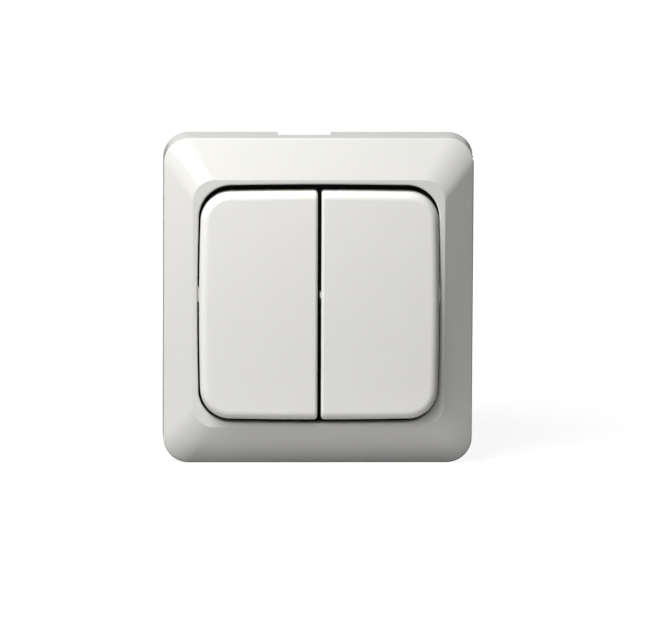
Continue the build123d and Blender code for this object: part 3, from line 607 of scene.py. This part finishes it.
# %% Assign finishes
FINISHES = {
    "cover_frame": frame_plastic,
    "rocker_carrier": carrier_plastic,
    "rocker": rocker_plastic,
    "insert_base": housing_plastic,
    "insert_cover": cover_plastic,
    "plunger": plunger_plastic,
    "support_ring": metals["ring_steel"],
    "toggle_spring": metals["spring_steel"],
    "cover_screws": metals["screw_steel"],
    "terminal_screws": metals["screw_steel"],
    "contact_lever": metals["copper_strip"],
    "contact_strip": metals["copper_strip"],
    "feed_rail": metals["copper_strip"],
    "feed_clamp": metals["clamp_brass"],
    "output_clamp": metals["clamp_brass"],
    "moving_contact": metals["contact_silver"],
    "fixed_contact": metals["contact_silver"],
}

for name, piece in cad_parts.items():
    start = max((key for key in FINISHES if name.startswith(key)), key=len)
    if not piece.data.materials:
        piece.data.materials.append(None)
    for index in range(len(piece.data.materials)):
        piece.data.materials[index] = FINISHES[start]
print("finishes given to", len(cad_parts), "pieces")

# %% [markdown]
# ## A coil's path and a thread's path
#
# A coil spring and a screw's thread both follow a helix, and differ in two things.  The coil is of
# round wire, and its end turns lie close together, so that it stands flat.  A curve over the wire's
# length moves them there.  The thread is a ridge with a sharp edge.  The normals of its path have to
# stay upright, or the ridge would roll over as it climbs.  Each function returns a path and the
# profile that is swept along it.

# %% Paths and profiles
WIRE_SIDES = 10
CLOSED_ENDS = [(0.14, 0.07), (0.86, 0.93)]


def coil_path(add, link, start, spiral):
    """Spiral with closed end turns, and the round section of its wire."""
    along = add("GeometryNodeSplineParameter")
    closed = add("ShaderNodeFloatCurve")
    points = closed.mapping.curves[0].points
    for x, y in CLOSED_ENDS:
        points.new(x, y)
    closed.mapping.update()
    link(along.outputs["Factor"], closed.inputs["Value"])
    height = add("ShaderNodeMath", operation="MULTIPLY")
    link(closed.outputs["Value"], height.inputs[0])
    link(start.outputs["Length"], height.inputs[1])
    now = add("GeometryNodeInputPosition")
    parts = add("ShaderNodeSeparateXYZ")
    link(now.outputs["Position"], parts.inputs[0])
    moved = add("ShaderNodeCombineXYZ")
    for axis in "XY":
        link(parts.outputs[axis], moved.inputs[axis])
    link(height.outputs[0], moved.inputs["Z"])
    place = add("GeometryNodeSetPosition")
    link(spiral, place.inputs["Geometry"])
    link(moved.outputs[0], place.inputs["Position"])
    profile = add("GeometryNodeCurvePrimitiveCircle")
    profile.inputs["Resolution"].default_value = WIRE_SIDES
    link(start.outputs["Profile radial"], profile.inputs["Radius"])
    return place.outputs["Geometry"], profile.outputs["Curve"]


def thread_path(add, link, start, spiral):
    """Spiral with upright normals, and the sharp section of a thread's ridge."""
    upright = add("GeometryNodeSetCurveNormal", mode="Z_UP")
    link(spiral, upright.inputs["Curve"])
    profile = add("GeometryNodeCurvePrimitiveQuadrilateral", mode="KITE")
    link(start.outputs["Profile radial"], profile.inputs["Width"])
    half = add("ShaderNodeMath", operation="MULTIPLY")
    half.inputs[1].default_value = 0.5
    link(start.outputs["Profile along"], half.inputs[0])
    for socket in ("Bottom Height", "Top Height"):
        link(half.outputs[0], profile.inputs[socket])
    return upright.outputs["Curve"], profile.outputs["Curve"]


print("sides of the spring wire:", WIRE_SIDES)

# %% [markdown]
# ## Pieces grown by Geometry Nodes
#
# The tree makes a spiral curve, sweeps the small profile along it, and puts one copy on each place.
# The base mesh has a vertex for each place, and an attribute on it says which way the copy points.
# The same could be done with a Screw modifier for each piece, but then each size would sit in a
# modifier of its own.  The tree ends by making the copies real and giving them their material.

# %% Helix tree
POINTS_A_TURN = 24
HELIX_INPUTS = [
    ("Radius", "NodeSocketFloat"),
    ("Length", "NodeSocketFloat"),
    ("Turns", "NodeSocketFloat"),
    ("Profile radial", "NodeSocketFloat"),
    ("Profile along", "NodeSocketFloat"),
    ("Material", "NodeSocketMaterial"),
]


def new_tree(name, inputs):
    """Geometry node tree with the base mesh, named inputs (label, kind) and a result."""
    tree = bpy.data.node_groups.new(name, "GeometryNodeTree")
    tree.interface.new_socket("Base", in_out="INPUT", socket_type="NodeSocketGeometry")
    for label, kind in inputs:
        tree.interface.new_socket(label, in_out="INPUT", socket_type=kind)
    tree.interface.new_socket("Result", in_out="OUTPUT", socket_type="NodeSocketGeometry")
    return tree


def build_helix(name, shape_path):
    """Tree that puts a helix on every vertex.  shape_path gives its path and its profile."""
    tree = new_tree(name, HELIX_INPUTS)
    add, link = new_nodes(tree), tree.links.new
    start = add("NodeGroupInput")
    spiral = add("GeometryNodeCurveSpiral")
    spiral.inputs["Resolution"].default_value = POINTS_A_TURN
    link(start.outputs["Turns"], spiral.inputs["Rotations"])
    link(start.outputs["Length"], spiral.inputs["Height"])
    for socket in ("Start Radius", "End Radius"):
        link(start.outputs["Radius"], spiral.inputs[socket])
    path, profile = shape_path(add, link, start, spiral.outputs["Curve"])
    sweep = add("GeometryNodeCurveToMesh")
    sweep.inputs["Fill Caps"].default_value = True
    link(path, sweep.inputs["Curve"])
    link(profile, sweep.inputs["Profile Curve"])
    way = add("GeometryNodeInputNamedAttribute", data_type="FLOAT_VECTOR")
    way.inputs["Name"].default_value = "way"
    turn = add("FunctionNodeAlignRotationToVector", axis="Z")
    link(way.outputs["Attribute"], turn.inputs["Vector"])
    copies = add("GeometryNodeInstanceOnPoints")
    link(start.outputs["Base"], copies.inputs["Points"])
    link(sweep.outputs["Mesh"], copies.inputs["Instance"])
    link(turn.outputs["Rotation"], copies.inputs["Rotation"])
    real = add("GeometryNodeRealizeInstances")
    link(copies.outputs["Instances"], real.inputs["Geometry"])
    painted = add("GeometryNodeSetMaterial")
    link(real.outputs["Geometry"], painted.inputs["Geometry"])
    link(start.outputs["Material"], painted.inputs["Material"])
    end = add("NodeGroupOutput")
    link(painted.outputs["Geometry"], end.inputs["Result"])
    return tree


wire_tree = build_helix("wire_coil", coil_path)
thread_tree = build_helix("screw_thread", thread_path)
print("trees:", wire_tree.name, thread_tree.name)

# %% [markdown]
# ## Running a tree
#
# The helper makes the base mesh, hangs the tree on it as a modifier and sets the inputs by their
# identifiers before anything is evaluated.  Then it turns the result into a plain mesh in a new
# object, and throws the base away, so no modifier is left.

# %% Grow helper
def grow(name, tree, spots, ways, **values):
    """Plain mesh object grown by a tree on the spots, with its inputs given by label."""
    base_mesh = bpy.data.meshes.new(name + "_base")
    base_mesh.from_pydata(spots, [], [])
    attribute = base_mesh.attributes.new("way", "FLOAT_VECTOR", "POINT")
    for item, way in zip(attribute.data, ways):
        item.vector = way
    base = bpy.data.objects.new(name + "_base", base_mesh)
    bpy.context.scene.collection.objects.link(base)
    modifier = base.modifiers.new("grow", "NODES")
    modifier.node_group = tree
    for item in tree.interface.items_tree:
        if item.in_out == "INPUT" and item.name in values:
            modifier[item.identifier] = values[item.name]
    graph = bpy.context.evaluated_depsgraph_get()
    mesh = bpy.data.meshes.new_from_object(base.evaluated_get(graph), depsgraph=graph)
    mesh.name = name
    base.modifiers.clear()
    bpy.data.objects.remove(base)
    piece = bpy.data.objects.new(name, mesh)
    bpy.context.scene.collection.objects.link(piece)
    triangles = sum(len(face.vertices) - 2 for face in mesh.polygons)
    size = [round(value * 1000, 2) for value in piece.dimensions]
    print(name, "has", triangles, "triangles in", size, "mm")
    return piece


# %% [markdown]
# ## Toggle springs
#
# In each rocker a coil spring pushes the plunger onto the contact lever.  The construction model has
# the coil with a coarse wire.  The one here is round, and its end turns lie flat, as those of a real
# compression spring do.  It leans with the rocker.

# %% Toggle springs
ROCKER_LEAN = math.radians(3.0)
SPRING_DIAMETER = 0.0023
SPRING_WIRE = 0.00036
SPRING_TURNS = 6.5

out_of_wall = Vector((0, -math.cos(ROCKER_LEAN), math.sin(ROCKER_LEAN)))
for side in ("left", "right"):
    low, high = (Vector(corner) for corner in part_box("toggle_spring_" + side))
    middle = (low + high) / 2
    depth = high.y - low.y - SPRING_DIAMETER * math.sin(ROCKER_LEAN)
    length = depth / math.cos(ROCKER_LEAN) - SPRING_WIRE
    foot = middle - out_of_wall * (length / 2)
    coil = grow(
        "spring_coil_" + side,
        wire_tree,
        [foot],
        [out_of_wall],
        Radius=(SPRING_DIAMETER - SPRING_WIRE) / 2,
        Length=length,
        Turns=SPRING_TURNS,
        **{"Profile radial": SPRING_WIRE / 2, "Material": metals["spring_steel"]},
    )
    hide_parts("toggle_spring_" + side)
    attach(coil, "rocker_" + side + "_body")
    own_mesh(coil)

# %% [markdown]
# ## Screw threads
#
# The construction model's screws have plain shanks.  A thread is a ridge with a sharp profile that
# winds along the shank, half sunk in it, so that no gap shows.  The cover screws cut their own
# coarse thread in the plastic of the base.  Their places come from the box round both heads.

# %% Cover screw threads
HEAD_RADIUS = 0.0022
THREAD_MARGIN = 0.0008
RIDGE_SHARE = 0.7
COVER_SCREW_HEAD = 0.0016
COVER_SHANK_RADIUS = 0.0012
COVER_PITCH = 0.0009
COVER_RIDGE = 0.0004


def cut_thread(name, spots, ways, radius, length, pitch, ridge):
    """Thread ridge for a set of screws, half sunk in their shanks, fixed to the switch's body."""
    along = pitch * RIDGE_SHARE
    piece = grow(
        name,
        thread_tree,
        spots,
        ways,
        Radius=radius,
        Length=length,
        Turns=length / pitch,
        **{"Profile radial": ridge, "Profile along": along, "Material": metals["screw_steel"]},
    )
    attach(piece, "switch_body")
    return piece


low, high = (Vector(corner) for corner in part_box("cover_screws"))
column = high.x - HEAD_RADIUS
row = high.z - HEAD_RADIUS
start = low.y + COVER_SCREW_HEAD + THREAD_MARGIN
cut_thread(
    "cover_screw_threads",
    [(column, start, row), (-column, start, -row)],
    [(0, 1, 0), (0, 1, 0)],
    COVER_SHANK_RADIUS,
    high.y - THREAD_MARGIN / 2 - start,
    COVER_PITCH,
    COVER_RIDGE,
)
print("cover screws at", round(column * 1000, 2), round(row * 1000, 2), "mm")

# %% [markdown]
# ## The fine thread of the terminal screws
#
# A terminal screw presses the wire down in its clamp.  It has the fine thread of a metal clamp, of
# which only the crest shows, on the tip that stands inside the clamp.

# %% Terminal screw threads
TERMINAL_SCREW_LENGTH = 0.0037
TERMINAL_THREAD_LENGTH = 0.0013
TERMINAL_SHANK_RADIUS = 0.0015
TERMINAL_PITCH = 0.0005
TERMINAL_RIDGE = 0.00012

low, high = (Vector(corner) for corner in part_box("terminal_screws"))
column = high.x - HEAD_RADIUS
middle = (low.y + high.y) / 2
tip = high.z - TERMINAL_SCREW_LENGTH
cut_thread(
    "terminal_screw_threads",
    [(x, middle, z) for x in (-column, column) for z in (tip, -tip)],
    [(0, 0, 1), (0, 0, -1)] * 2,
    TERMINAL_SHANK_RADIUS,
    TERMINAL_THREAD_LENGTH,
    TERMINAL_PITCH,
    TERMINAL_RIDGE,
)
print("terminal screws at", round(column * 1000, 2), round(middle * 1000, 2), "mm")

# %% [markdown]
# ## Output colours
#
# The standard view transform shows a colour as it is written.

# %% Finish
bpy.context.scene.view_settings.view_transform = "Standard"
